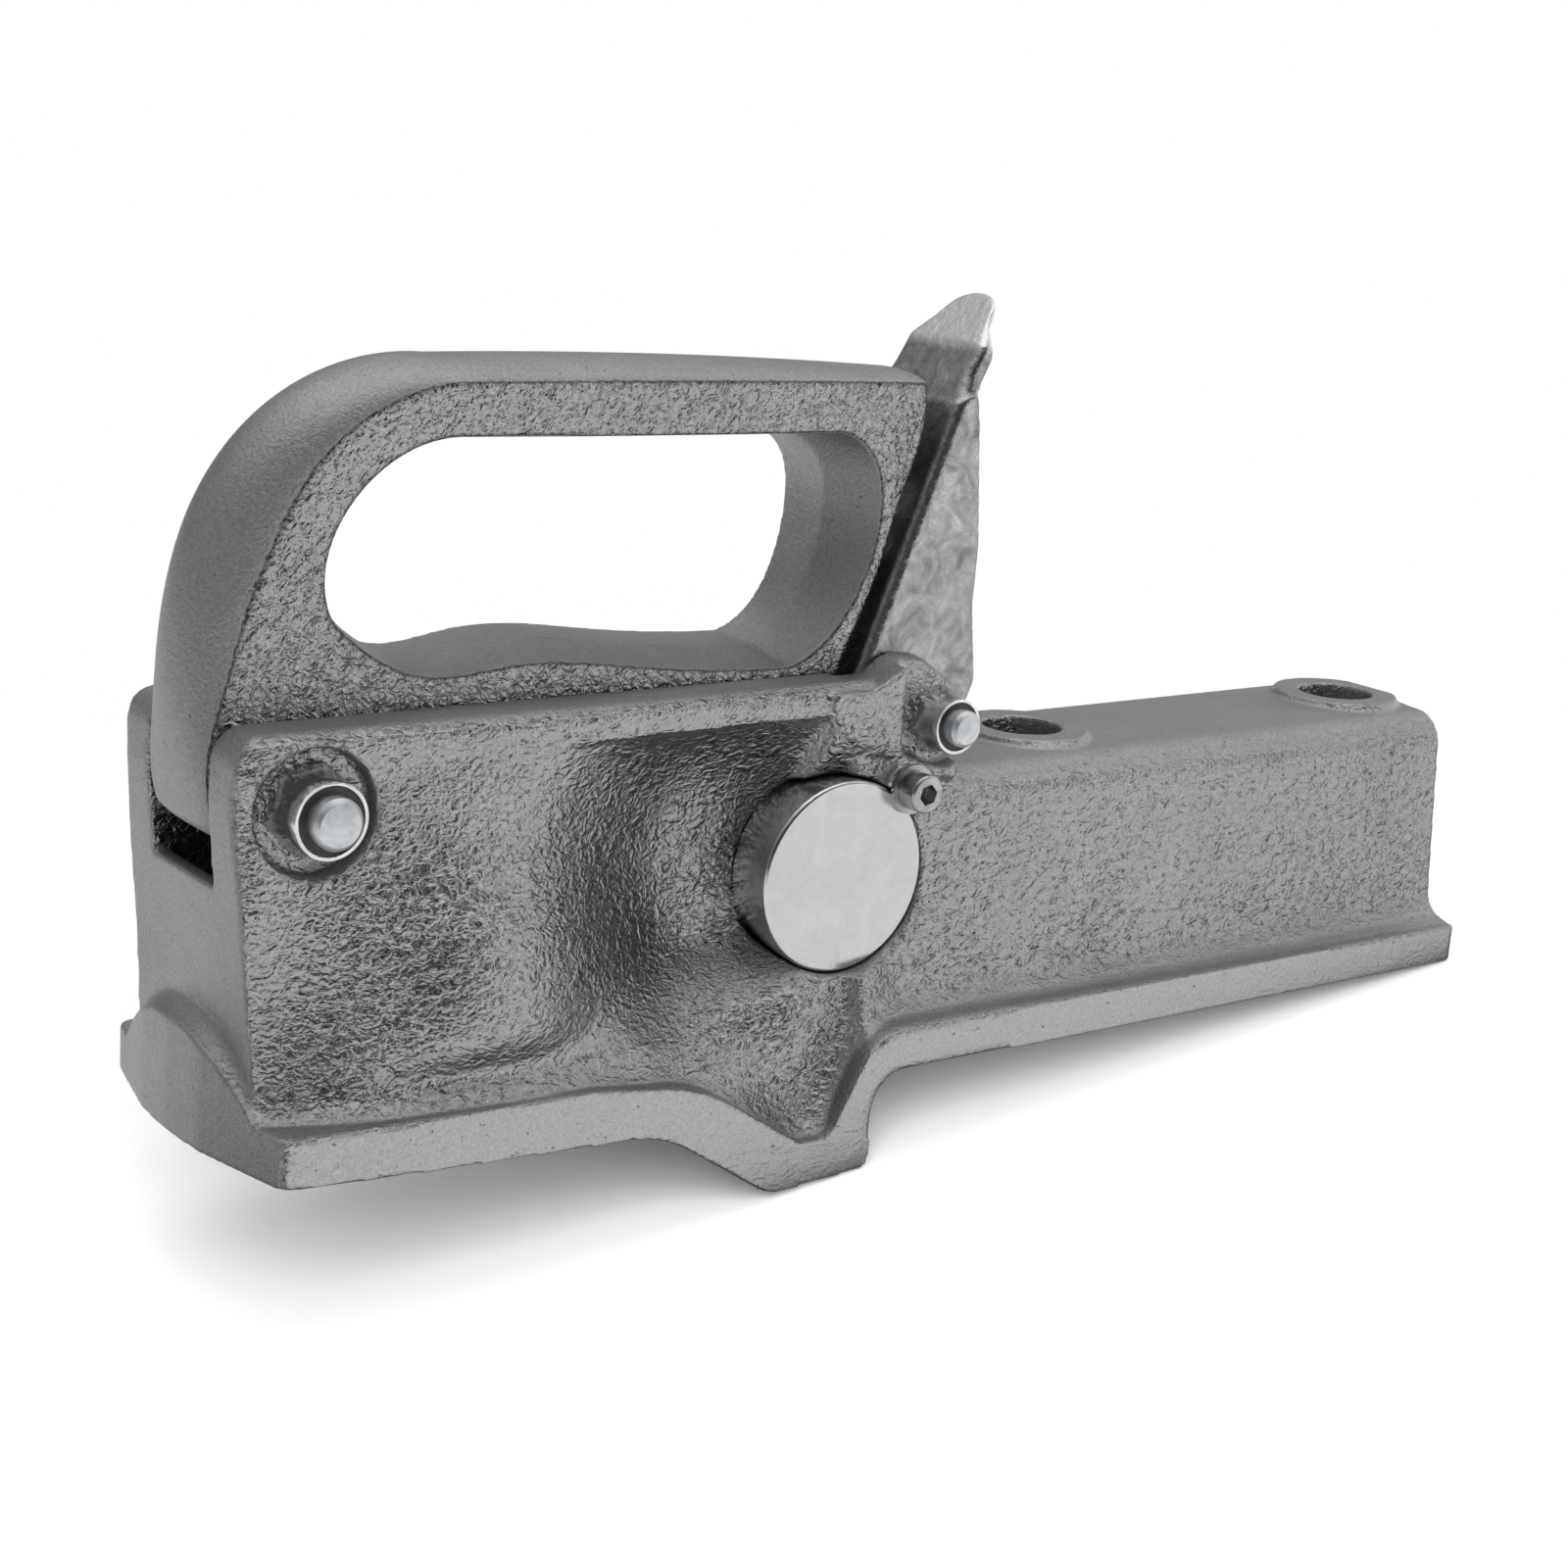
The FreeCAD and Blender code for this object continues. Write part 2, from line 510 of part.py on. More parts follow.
def drafted(runs, half):
    """Loft across the window: it narrows from the near side to the parting line and on."""
    shares = ((-1.16, -0.16), (-0.5, 0.5), (0.0, 1.0), (1.16, 1.2))
    rings = [ring_at(runs, step * half, share) for step, share in shares]
    return Part.makeLoft(rings, True, True)


def handle():
    """Cast loop with flat sides, a crowned outside, a nib for the latch and a lock lug."""
    hw = HANDLE_T / 2
    body = crowned(outer_runs(), hw).cut(drafted(window_runs(), hw))
    low, top = NIB_Z - NIB_T / 2, NIB_Z + NIB_T / 2
    end = NIB_X + NIB_L
    nib = prism_y([(NIB_X - 5, low - 0.4), (NIB_X, low), (end, top - 4.2, 1.0), (end, top - 1.2, 1.0),
                   (NIB_X - 1, top), (NIB_X - 5, top)], -NIB_HW, NIB_HW)
    lug = prism_y([(TAIL_X - 13, HANDLE_FLOOR + 4), (TAIL_X - 11, HANDLE_FLOOR - 2.2, 1.5),
                   (TAIL_X - JAW_CLEAR - 0.6, HANDLE_FLOOR - 2.2, 1.0),
                   (TAIL_X - JAW_CLEAR - 0.4, HANDLE_FLOOR + 4)], -JAW_HW + 0.6, JAW_HW - 0.6)
    body = body.fuse([nib, lug])
    bush_r = M10["r"] + BORE_CLEAR + BUSH_WALL
    return body.cut(rod_y(PIVOT_X, PIVOT_Z, bush_r, -hw - 1, hw + 1))


def handle_bush():
    hw = HANDLE_T / 2
    inner = M10["r"] + BORE_CLEAR
    return ring_y(PIVOT_X, PIVOT_Z, inner + BUSH_WALL, inner, -hw, hw)


def hex_bolt(x, z, size, seat):
    """Bolt along Y: head on the far side, end just past the nut on the near side."""
    end = -(seat + size["nut"] + BOLT_OVER)
    base = seat + size["washer_t"]
    shank = rod_y(x, z, size["r"], end, base)
    tip = Part.makeCone(size["r"] - 0.9, size["r"], 1.0, Vector(x, end - 1.0, z), Vector(0, 1, 0))
    head = hexagon_y(x, z, size["af"], base, base + size["head"])
    crown = Part.makeCone(size["af"] * 0.62, size["af"] * 0.40, size["head"] * 1.4,
                          Vector(x, base, z), Vector(0, 1, 0))
    return shank.fuse(tip).fuse(head.common(crown))


def bolt_washer(x, z, size, seat):
    return ring_y(x, z, size["washer_r"], size["r"] + 0.3, seat, seat + size["washer_t"])


def lock_nut(x, z, size, seat):
    """Hexagon with a round collar that holds the locking ring."""
    hexa = 0.62 * size["nut"]
    body = hexagon_y(x, z, size["af"], -seat - hexa, -seat)
    cone = Part.makeCone(size["af"] * 0.46, size["af"] * 0.62, hexa * 1.25,
                         Vector(x, -seat - hexa, z), Vector(0, 1, 0))
    collar = rod_y(x, z, size["af"] * 0.46, -seat - size["nut"], -seat - hexa)
    body = body.common(cone).fuse(collar)
    body = body.cut(rod_y(x, z, size["r"], -seat - size["nut"] - 1, -seat + 1))
    return body.cut(rod_y(x, z, size["r"] * 1.34, -seat - size["nut"] - 1, -seat - 0.66 * size["nut"]))


def lock_ring(x, z, size, seat):
    y1 = -seat - 0.66 * size["nut"]
    y0 = -seat - size["nut"] + 0.5
    return ring_y(x, z, size["r"] * 1.34, size["r"], y0, y1)


def fold_x(z):
    """X of the latch's fold line at a height."""
    share = (z - FOLD_LOW[1]) / (FOLD_HIGH[1] - FOLD_LOW[1])
    return FOLD_LOW[0] + share * (FOLD_HIGH[0] - FOLD_LOW[0])


def folded(at, lean, half, depth, fold, web=SHEET):
    """Section of the folded sheet: a web and two flanges turned back, lean degrees below +X."""
    back = Vector(math.cos(math.radians(lean)), 0, -math.sin(math.radians(lean)))
    inside_fold = max(fold - SHEET, 0.4)
    corners = [
        (-half, depth), (-half, 0.0, fold), (half, 0.0, fold), (half, depth),
        (half - SHEET, depth), (half - SHEET, web, inside_fold), (SHEET - half, web, inside_fold),
        (SHEET - half, depth),
    ]
    return corner_outline(plain(corners), lambda p: Vector(at[0], p.x, at[1]) + back * p.y)


def latch_lever():
    """Pressing: a folded channel on the bolt, a neck and a thumb tab with turned back edges."""
    hw = LATCH_HW
    hub = LATCH_HUB_R
    lean = math.degrees(math.atan2(FOLD_HIGH[0] - FOLD_LOW[0], FOLD_HIGH[1] - FOLD_LOW[1]))
    low, high = 44.0, FOLD_HIGH[1] + 6.0
    foot = Part.Face(folded((fold_x(low), low), lean, hw, FAR * 0.7, FOLD_ROUND))
    channel = foot.extrude(Vector(fold_x(high) - fold_x(low), 0, high - low))
    lip = (LATCH_X + 9.2, FOLD_HIGH[1] + 1.9)
    side_view = [
        (fold_x(50.0) - 0.1, 50.0), (FOLD_HIGH[0] - 0.1, FOLD_HIGH[1]), lip + (1.5,),
        (LATCH_X + 12.6, 78.0, 20.0), (LATCH_X + 12.2, 66.0, 12.0), (LATCH_X + 14.6, 49.0, 4.0),
        (LATCH_X + 12.6, LATCH_Z + 1.6, 3.0), (LATCH_X + hub * 0.7, LATCH_Z - hub * 0.7),
        (LATCH_X - hub * 0.7, LATCH_Z - hub * 0.7), (LATCH_X - hub - 2.4, LATCH_Z + 3.0, 3.0),
    ]
    channel = channel.common(prism_y(side_view, -hw, hw))
    hubs = [rod_y(LATCH_X, LATCH_Z, hub, y0, y0 + SHEET) for y0 in (-hw, hw - SHEET)]
    lip_rise = -math.degrees(math.atan2(lip[1] - FOLD_HIGH[1], lip[0] - FOLD_HIGH[0]))
    neck_lean = math.degrees(math.atan2(CREASE[0] - FOLD_HIGH[0], CREASE[1] - FOLD_HIGH[1]))
    run = math.radians(TAB_LEAN)
    tip = (CREASE[0] + TAB_L * math.sin(run), CREASE[1] + TAB_L * math.cos(run))
    half_way = [(a + b) / 2 for a, b in zip(FOLD_HIGH, CREASE)]
    sunk = 0.8
    root = (fold_x(FOLD_HIGH[1] - sunk) + 0.1, FOLD_HIGH[1] - sunk)
    rings = [
        folded(root, lip_rise, hw - 0.1, TAB_RIM + 1.6, FOLD_ROUND, SHEET * 1.5),
        folded(half_way, neck_lean, TAB_HW + 0.1, TAB_RIM + 0.4, FOLD_ROUND + 0.8),
        folded(CREASE, (neck_lean + TAB_LEAN) / 2, TAB_HW, TAB_RIM, FOLD_ROUND + 2.0),
        folded(tip, TAB_LEAN, TIP_HW + 1.0, TAB_RIM * 0.6, FOLD_ROUND, SHEET * 0.8),
    ]
    neck = Part.makeLoft(rings, True, True)
    plan = both_sides([(LATCH_X, hw + 2), (CREASE[0] - 3, hw + 2), (CREASE[0] + 1, TAB_HW + 1, 3.0),
                       (tip[0] + 0.2, TIP_HW, 7.0)])
    neck = neck.common(prism_z(plan, FOLD_HIGH[1] - 10, tip[1] + 10))
    body = channel.fuse(hubs + [neck])
    slot = NIB_HW + 0.8
    body = body.cut(box(NIB_X - 10, NIB_X + 20, -slot, slot, NIB_Z - 5.3, NIB_Z + 9.3))
    return body.cut(rod_y(LATCH_X, LATCH_Z, M8["r"] + BOLT_CLEAR, -hw - 1, hw + 1))


def latch_bush():
    """Spacer between the latch's flanges, on its bolt."""
    inner = M8["r"] + BORE_CLEAR
    half = LATCH_HW - SHEET - 0.05
    return ring_y(LATCH_X, LATCH_Z, inner + 2.0, inner, -half, half)


def wound_wire(stations, radius):
    """Wire of six sides through stations of (point, direction, side direction)."""
    rings = []
    for point, along, aside in stations:
        along = Vector(along).normalize()
        aside = Vector(aside) - along * along.dot(aside)
        aside.normalize()
        third = along.cross(aside)
        ring = []
        for i in range(6):
            a = math.radians(60 * i)
            ring.append(point + aside * (radius * math.cos(a)) + third * (radius * math.sin(a)))
        rings.append(Part.makePolygon(ring + [ring[0]]))
    return Part.makeLoft(rings, True, True)


def coil_stations(centre, axis, start, radius, length, turns):
    """Points of a coil from its centre, along its axis, from the direction start."""
    axis = Vector(axis).normalize()
    start = Vector(start).normalize()
    third = axis.cross(start)
    count = int(turns * 14)
    stations = []
    for i in range(count + 1):
        a = 2 * math.pi * turns * i / count
        out = start * math.cos(a) + third * math.sin(a)
        round_ = third * math.cos(a) - start * math.sin(a)
        along = round_ * (2 * math.pi * radius * turns) + axis * length
        stations.append((centre + axis * (length * i / count) + out * radius, along, out))
    return stations


def latch_spring():
    """Torsion spring on the spacer, one leg on the web and one on the body."""
    wire_r = 0.8
    radius = M8["r"] + BORE_CLEAR + 2.0 + wire_r + 0.3
    half = 5.0
    centre = Vector(LATCH_X, half, LATCH_Z)
    coil = coil_stations(centre, (0, -1, 0), (-1, 0, 0), radius, 2 * half, 5)
    first, last = coil[0], coil[-1]
    out = Vector(-1, 0, 0)
    up = Vector(-0.40, 0, 1.0).normalize()
    down = Vector(-0.06, 0, -1.0).normalize()
    leg_up = [(first[0] + up * reach, up * -1, out) for reach in (15.4, 1.2)]
    leg_down = (last[0] + down * (LATCH_HUB_R - 0.8), down, out)
    return wound_wire(leg_up + coil + [leg_down], wire_r)


def jaw_spring():
    """Compression spring between the jaw's arm and the roof over it."""
    wire_r = 0.8
    low = 5.4 + wire_r
    length = SPRING_TOP - 0.3 - wire_r - low
    coil = coil_stations(Vector(SPRING_X, 0, low), (0, 0, 1), (1, 0, 0), 5.2, length, 4.5)
    return wound_wire(coil, wire_r)


def cross_pin():
    """Stepped pin: a broad disc head on a shank, with a groove for its clip."""
    edge = 0.6
    profile = [
        Vector(0, -CAP_FACE, 0), Vector(PIN_HEAD_R - edge, -CAP_FACE, 0),
        Vector(PIN_HEAD_R, -CAP_FACE + edge, 0), Vector(PIN_HEAD_R, -CAP_FACE + PIN_HEAD_T, 0),
        Vector(PIN_R, -CAP_FACE + PIN_HEAD_T, 0), Vector(PIN_R, CAP_FACE - 4.0, 0),
        Vector(PIN_R - 1.2, CAP_FACE - 4.0, 0), Vector(PIN_R - 1.2, CAP_FACE - 4.0 + CLIP_T, 0),
        Vector(PIN_R, CAP_FACE - 4.0 + CLIP_T, 0), Vector(PIN_R, CAP_FACE - 1.4, 0),
        Vector(PIN_R - 0.8, CAP_FACE - 0.6, 0), Vector(0, CAP_FACE - 0.6, 0), Vector(0, -CAP_FACE, 0),
    ]
    face = Part.Face(Part.makePolygon(profile))
    pin = face.revolve(Vector(0, 0, 0), Vector(0, 1, 0), 360)
    pin.translate(Vector(PIN_X, 0, PIN_Z))
    return pin


def pin_circlip():
    y0 = CAP_FACE - 4.0
    clip = ring_y(PIN_X, PIN_Z, PIN_R + CLIP_W, PIN_R - 1.2, y0, y0 + CLIP_T)
    gap = box(PIN_X + 4, PIN_X + 30, y0 - 1, y0 + 3, PIN_Z - CLIP_W, PIN_Z + CLIP_W)
    return clip.cut(gap)


def pin_screw():
    face = -CAP_FACE - SCREW_WASHER_T
    head = rod_y(SCREW_X, SCREW_Z, SCREW_HEAD_R, face - SCREW_HEAD + 0.5, face)
    rim_ = Part.makeCone(SCREW_HEAD_R - 0.5, SCREW_HEAD_R, 0.5,
                         Vector(SCREW_X, face - SCREW_HEAD, SCREW_Z), Vector(0, 1, 0))
    socket = hexagon_y(SCREW_X, SCREW_Z, 4.0, face - SCREW_HEAD - 1, face - SCREW_HEAD + 3)
    head = head.fuse(rim_).cut(socket)
    return head.fuse(rod_y(SCREW_X, SCREW_Z, SCREW_R, face, face + SCREW_DEPTH))


def pin_washer():
    return ring_y(SCREW_X, SCREW_Z, SCREW_WASHER_R, SCREW_R + 0.3,
                  -CAP_FACE - SCREW_WASHER_T, -CAP_FACE)


def ball_jaw():
    """Keeper: a hub on the cross pin, an arm to the ball and a tail that the handle locks."""
    hub = rod_y(PIN_X, PIN_Z, JAW_HUB_R, -JAW_HW, JAW_HW)
    arm = prism_y([(96, 4), (84, 28), (66, 16, 6.0), (44, 4.6, 8.0), (30, 0), (18, -8), (12, -26),
                   (30, -29), (56, -20, 12.0), (80, -8)], -JAW_HW, JAW_HW)
    head = prism_y([(33, 1), (18, 1), (12, -10), (12, -26.5), (24, -28.5), (33, -27)],
                   -JAW_HEAD_HW, JAW_HEAD_HW)
    tail_top = HANDLE_FLOOR - 0.5
    tail = prism_y([(TAIL_X, 22), (TAIL_X, tail_top, 1.5), (TAIL_X + 9, tail_top, 3.0),
                    (TAIL_X + 19, 24), (TAIL_X + 20, 14)], -JAW_HW, JAW_HW)
    jaw = hub.fuse([arm, head, tail])
    seat = Part.makeSphere(SOCKET_R - 0.1)
    jaw = jaw.cut([seat, Part.makeCylinder(14.6, 40, Vector(0, 0, -44))])
    pocket = Part.makeCylinder(6.4, 16.0, Vector(SPRING_X, 0, 5.1), Vector(0, 0, 1))
    bore = PIN_R + BORE_CLEAR + BUSH_WALL
    return jaw.cut([pocket, rod_y(PIN_X, PIN_Z, bore, -JAW_HW - 1, JAW_HW + 1)])


def jaw_bush():
    inner = PIN_R + BORE_CLEAR
    return ring_y(PIN_X, PIN_Z, inner + BUSH_WALL, inner, -JAW_HW, JAW_HW)


NODES = {
    "coupling_body": coupling_body,
    "handle": handle,
    "handle_bush": handle_bush,
    "handle_pivot_bolt": lambda: hex_bolt(PIVOT_X, PIVOT_Z, M10, FRONT_SEAT),
    "handle_pivot_washer": lambda: bolt_washer(PIVOT_X, PIVOT_Z, M10, FRONT_SEAT),
    "handle_pivot_nut": lambda: lock_nut(PIVOT_X, PIVOT_Z, M10, FRONT_SEAT),
    "handle_nut_ring": lambda: lock_ring(PIVOT_X, PIVOT_Z, M10, FRONT_SEAT),
    "latch_lever": latch_lever,
    "latch_bush": latch_bush,
    "latch_spring": latch_spring,
    "latch_pivot_bolt": lambda: hex_bolt(LATCH_X, LATCH_Z, M8, REAR_SEAT),
    "latch_pivot_washer": lambda: bolt_washer(LATCH_X, LATCH_Z, M8, REAR_SEAT),
    "latch_pivot_nut": lambda: lock_nut(LATCH_X, LATCH_Z, M8, REAR_SEAT),
    "latch_nut_ring": lambda: lock_ring(LATCH_X, LATCH_Z, M8, REAR_SEAT),
    "cross_pin": cross_pin,
    "pin_circlip": pin_circlip,
    "pin_screw": pin_screw,
    "pin_washer": pin_washer,
    "ball_jaw": ball_jaw,
    "jaw_bush": jaw_bush,
    "jaw_spring": jaw_spring,
}

for name, make in NODES.items():
    shape = make()
    if len(shape.Solids) == 1:
        shape = shape.Solids[0]
    shape.exportStep("parts/" + name + ".step")
    size = shape.BoundBox
    print(name, len(shape.Solids), shape.isValid(), round(shape.Volume),
          [round(v, 1) for v in (size.XMin, size.XMax, size.YMin, size.YMax, size.ZMin, size.ZMax)])
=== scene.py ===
import bpy
import bmesh
import json
import math
import numpy as np
from mathutils import Matrix, Vector
from mathutils.kdtree import KDTree


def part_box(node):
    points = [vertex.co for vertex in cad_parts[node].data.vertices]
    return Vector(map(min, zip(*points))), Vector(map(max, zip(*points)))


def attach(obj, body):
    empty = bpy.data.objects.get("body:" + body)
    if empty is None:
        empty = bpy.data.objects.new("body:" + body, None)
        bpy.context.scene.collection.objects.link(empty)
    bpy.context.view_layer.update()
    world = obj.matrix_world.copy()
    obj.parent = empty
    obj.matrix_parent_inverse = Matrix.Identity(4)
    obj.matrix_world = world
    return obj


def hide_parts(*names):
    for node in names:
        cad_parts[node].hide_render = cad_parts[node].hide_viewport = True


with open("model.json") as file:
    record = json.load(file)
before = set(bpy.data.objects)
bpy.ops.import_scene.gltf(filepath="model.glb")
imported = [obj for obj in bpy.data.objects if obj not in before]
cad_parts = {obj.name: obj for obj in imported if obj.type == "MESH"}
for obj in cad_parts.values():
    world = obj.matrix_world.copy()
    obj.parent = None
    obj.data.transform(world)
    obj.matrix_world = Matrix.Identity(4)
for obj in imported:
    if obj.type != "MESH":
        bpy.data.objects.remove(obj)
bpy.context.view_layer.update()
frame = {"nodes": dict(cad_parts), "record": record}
NODES = frame["nodes"]
BODIES = frame["record"]["behaviour"]["bodies"]
MM = 0.001

# Camera in the part's frame: place, viewing angles in degrees, lens and sensor in millimetres
CAMERA_AT = (-0.25554, -0.44710, 0.16968)
CAMERA_AZIMUTH = -37.852
CAMERA_ELEVATION = 14.297
CAMERA_ROLL = 4.168
CAMERA_LENS = 61.875
SENSOR_WIDTH = 36.0
CAMERA_CLIP = (0.01, 50.0)

# The part stands on its lobes and on the rear end of its rim, so the floor is tilted in its frame
LOBE_FOOT = Vector((0.0925, 0.0, -0.0503))
REAR_FOOT = Vector((0.2805, 0.0, -0.0298))
FLOOR_HALF = 6.0

# Floor seen by the camera: brightness where no shadow falls, and how far out it is plain white
FLOOR_GAIN = 1.32
WHITE_CENTRE = (-0.02, 0.02, 0.0)
WHITE_FROM = (0.27, 0.42)

# Floor seen in reflections: a painted shadow close under the part, bright beside it
UNDER_SHADOW_EDGE = (0.036, 0.054)
UNDER_SHADOW_LEVEL = 0.15
BESIDE_LEVEL = 1.0

# Soft light that the floor and the world give back to matt faces
FLOOR_SOFT = 0.6
WORLD_SOFT = 0.38

# World seen in reflections. A zone is a direction, the cosines where it starts and is full, and
# its gain: bright zones add to the level, and dark zones take a share of it away.
WORLD_LEVEL = 0.30
BRIGHT_ZONES = (((0, 0, 1), 0.35, 0.90, 0.45), ((0.97, 0.0, 0.25), 0.82, 0.94, 0.80))
DARK_ZONES = (((-0.55, -0.83, 0.10), 0.60, 0.95, 0.80), ((0.25, -0.92, 0.30), 0.70, 0.90, 0.92))

# Lamps: place, target, size, watts, and whether they show in reflections
LAMPS = {
    "softbox": ((0.14, 0.0, 1.0), (0.1, 0, 0), 1.3, 2.6, True),
    "side_box": ((0.9, -1.1, 0.30), (0.1, 0, 0.03), 0.9, 2.0, True),
    "front_fill": ((-0.55, -0.95, 0.60), (0.1, 0, 0), 1.2, 16.0, False),
}

# Cast paint: scales of its noises per metre
PATCH_SCALE = 26.0
TONE_SCALE = 55.0
BROAD_SCALE = 60.0
LUMP_SCALE = 460.0
CRUMBLE_SCALE = 650.0
FLECK_SCALE = 760.0
PIT_SCALE = 800.0
DENT_SCALE = 1150.0
GRAIN_SCALE = 1400.0

# Cast paint: heights of its relief
BODY_RIDGE = 0.50 * MM
HANDLE_RIDGE = 0.56 * MM
SMOOTH_RIDGE = 0.03 * MM
GROUND_RIDGE = 0.17 * MM
SIDE_DROP = 0.40 * MM
BROAD_WAVE = 0.40 * MM
GRAIN_SMOOTH = 0.24 * MM
GRAIN_SIDE = 0.12 * MM
PIT_DEPTH = 0.18 * MM
FLECK_DEPTH = 0.12 * MM

# Cast paint: grey levels, shares of darkening (in the pits; painted shade in the flecks and along the edge
# line) and roughnesses
PAINT_DARK = 0.345
PAINT_PALE = 0.385
PAINT_GROUND = 0.46
PIT_AND_SHADE_LEVEL = 0.05
PIT_DARKEN = 0.7
FLECK_SHADE = 0.55
LINE_SHADE = 0.75
GRAIN_TONES = (0.86, 1.12)
SMOOTH_ROUGHNESS = 0.50
SIDE_ROUGHNESS = 0.26
GROUND_ROUGHNESS = 0.42

# Plated metal: scales of its noises, height of its grain, and the level and share of a painted highlight on
# its top
BLOTCH_SCALE = 150.0
WAVE_SCALE = 320.0
BRUSH_SCALE = 1500.0
BRUSH_HEIGHT = 0.01 * MM
HIGHLIGHT_LEVEL = 0.86
HIGHLIGHT_SHARE = 0.7

# Look meshes: one smoothing and the step back that keeps the volume, and plain rounding
SMOOTH_AND_BACK = (0.5, -0.52)
ROUNDING = 0.5
JOIN_WITHIN = 0.002 * MM
EDGE_BEVEL = 0.25 * MM
BODY_RELIEF = 1.8

# Boxes behind the lobes, where the cast faces run softly into each other, with rounds of smoothing
LOBE_BLENDS = (((92, -40, -44), (132, -20, -2), 40), ((92, 20, -44), (132, 40, -2), 40))

# Rim band: where its side and its top edge begin
RIM_SIDE = (35.6 * MM, 36.2 * MM)
RIM_BELOW = (15.0 * MM, 16.0 * MM)

# Flat sides of the handle: how far below their level the edge begins, and its width
SIDE_MARGIN = 0.9 * MM
SIDE_SOFT = 0.8 * MM

# The latch's thumb tab: box of its rolled edges, lean, length, end round, and the heights over which a
# painted highlight on its top fades in
TAB_BLEND = (((90, -20, 106), (150, 20, 140), 14),)
TAB_LEAN = math.radians(47)
TAB_RUN = 16 * MM
TIP_BAND = 1.5 * MM
TIP_ROUND = 7 * MM
TAB_HIGHLIGHT = (119.0 * MM, 121.5 * MM)


def body_name(node):
    return next(name for name, nodes in BODIES.items() if node in nodes)


# Shader helpers

def new_material(name):
    material = bpy.data.materials.new(name)
    material.use_nodes = True
    tree = material.node_tree
    tree.nodes.clear()
    return material, tree


def add(tree, kind, inputs=None, **settings):
    """One node with its settings; an input is a value, or the (node, output) that feeds it."""
    node = tree.nodes.new("ShaderNode" + kind)
    for key, value in settings.items():
        setattr(node, key, value)
    for key, value in (inputs or {}).items():
        socket = node.inputs[key]
        if isinstance(value, tuple) and len(value) == 2 and hasattr(value[0], "outputs"):
            tree.links.new(value[0].outputs[value[1]], socket)
        else:
            socket.default_value = value
    return node


def grey(level, warm=0.0):
    return (level * (1 + warm), level, level * (1 - warm), 1)


def ramp(tree, source, stops):
    """Colour ramp; a stop is its place and a grey level or a colour."""
    node = add(tree, "ValToRGB", {0: source})
    elements = node.color_ramp.elements
    while len(elements) < len(stops):
        elements.new(0.5)
    for element, (place, colour) in zip(elements, stops):
        element.position = place
        element.color = colour if isinstance(colour, tuple) else grey(colour)
    return (node, 0)


def noise_of(tree, where, scale, detail=2.0, rough=0.5, warp=0.0):
    return (add(tree, "TexNoise", {"Vector": where, "Scale": scale, "Detail": detail,
                                   "Roughness": rough, "Distortion": warp}), 0)


def math_of(tree, operation, first, second=0.0, third=0.0):
    return (add(tree, "Math", {0: first, 1: second, 2: third}, operation=operation), 0)


def product(tree, first, second):
    return math_of(tree, "MULTIPLY", first, second)


def opposite(tree, share):
    return math_of(tree, "SUBTRACT", 1.0, share)


def raised(tree, height, pattern, rise):
    """Height with a pattern added to it; a negative rise sinks the pattern in."""
    return math_of(tree, "MULTIPLY_ADD", pattern, rise, height)


def soft_step(tree, source, low, high):
    return (add(tree, "MapRange", {"Value": source, "From Min": low, "From Max": high},
                interpolation_type="SMOOTHSTEP"), 0)


def blend_of(tree, share, first, second):
    """Value that runs from the first to the second as the share runs from 0 to 1."""
    return (add(tree, "MapRange", {"Value": share, "To Min": first, "To Max": second}), 0)


def mixed(tree, share, first, second):
    return (add(tree, "MixRGB", {0: share, 1: first, 2: second}), 0)


def attribute(tree, name):
    return (add(tree, "Attribute", attribute_name=name), "Fac")


def object_place(tree):
    return (add(tree, "TexCoord"), "Object")


def part_of(tree, vector, axis):
    return (add(tree, "SeparateXYZ", {0: vector}), axis)


def bump(tree, height, distance):
    return (add(tree, "Bump", {"Height": height, "Distance": distance, "Strength": 1.0}), 0)


def finish_material(tree, inputs):
    shader = add(tree, "BsdfPrincipled", inputs)
    add(tree, "OutputMaterial", {"Surface": (shader, 0)})


# Finishes

def hammered(tree, placed):
    """Height of short cast lumps from 0 to 1."""
    lumps = math_of(tree, "MULTIPLY_ADD", noise_of(tree, placed, LUMP_SCALE, 1.6, 0.55, 0.6), 4.0, -2.0)
    lumps = math_of(tree, "MINIMUM", math_of(tree, "ABSOLUTE", lumps), 1.0)
    dents = noise_of(tree, placed, DENT_SCALE, 2.0, 0.6, 0.4)
    return raised(tree, product(tree, lumps, 0.58), dents, 0.42)


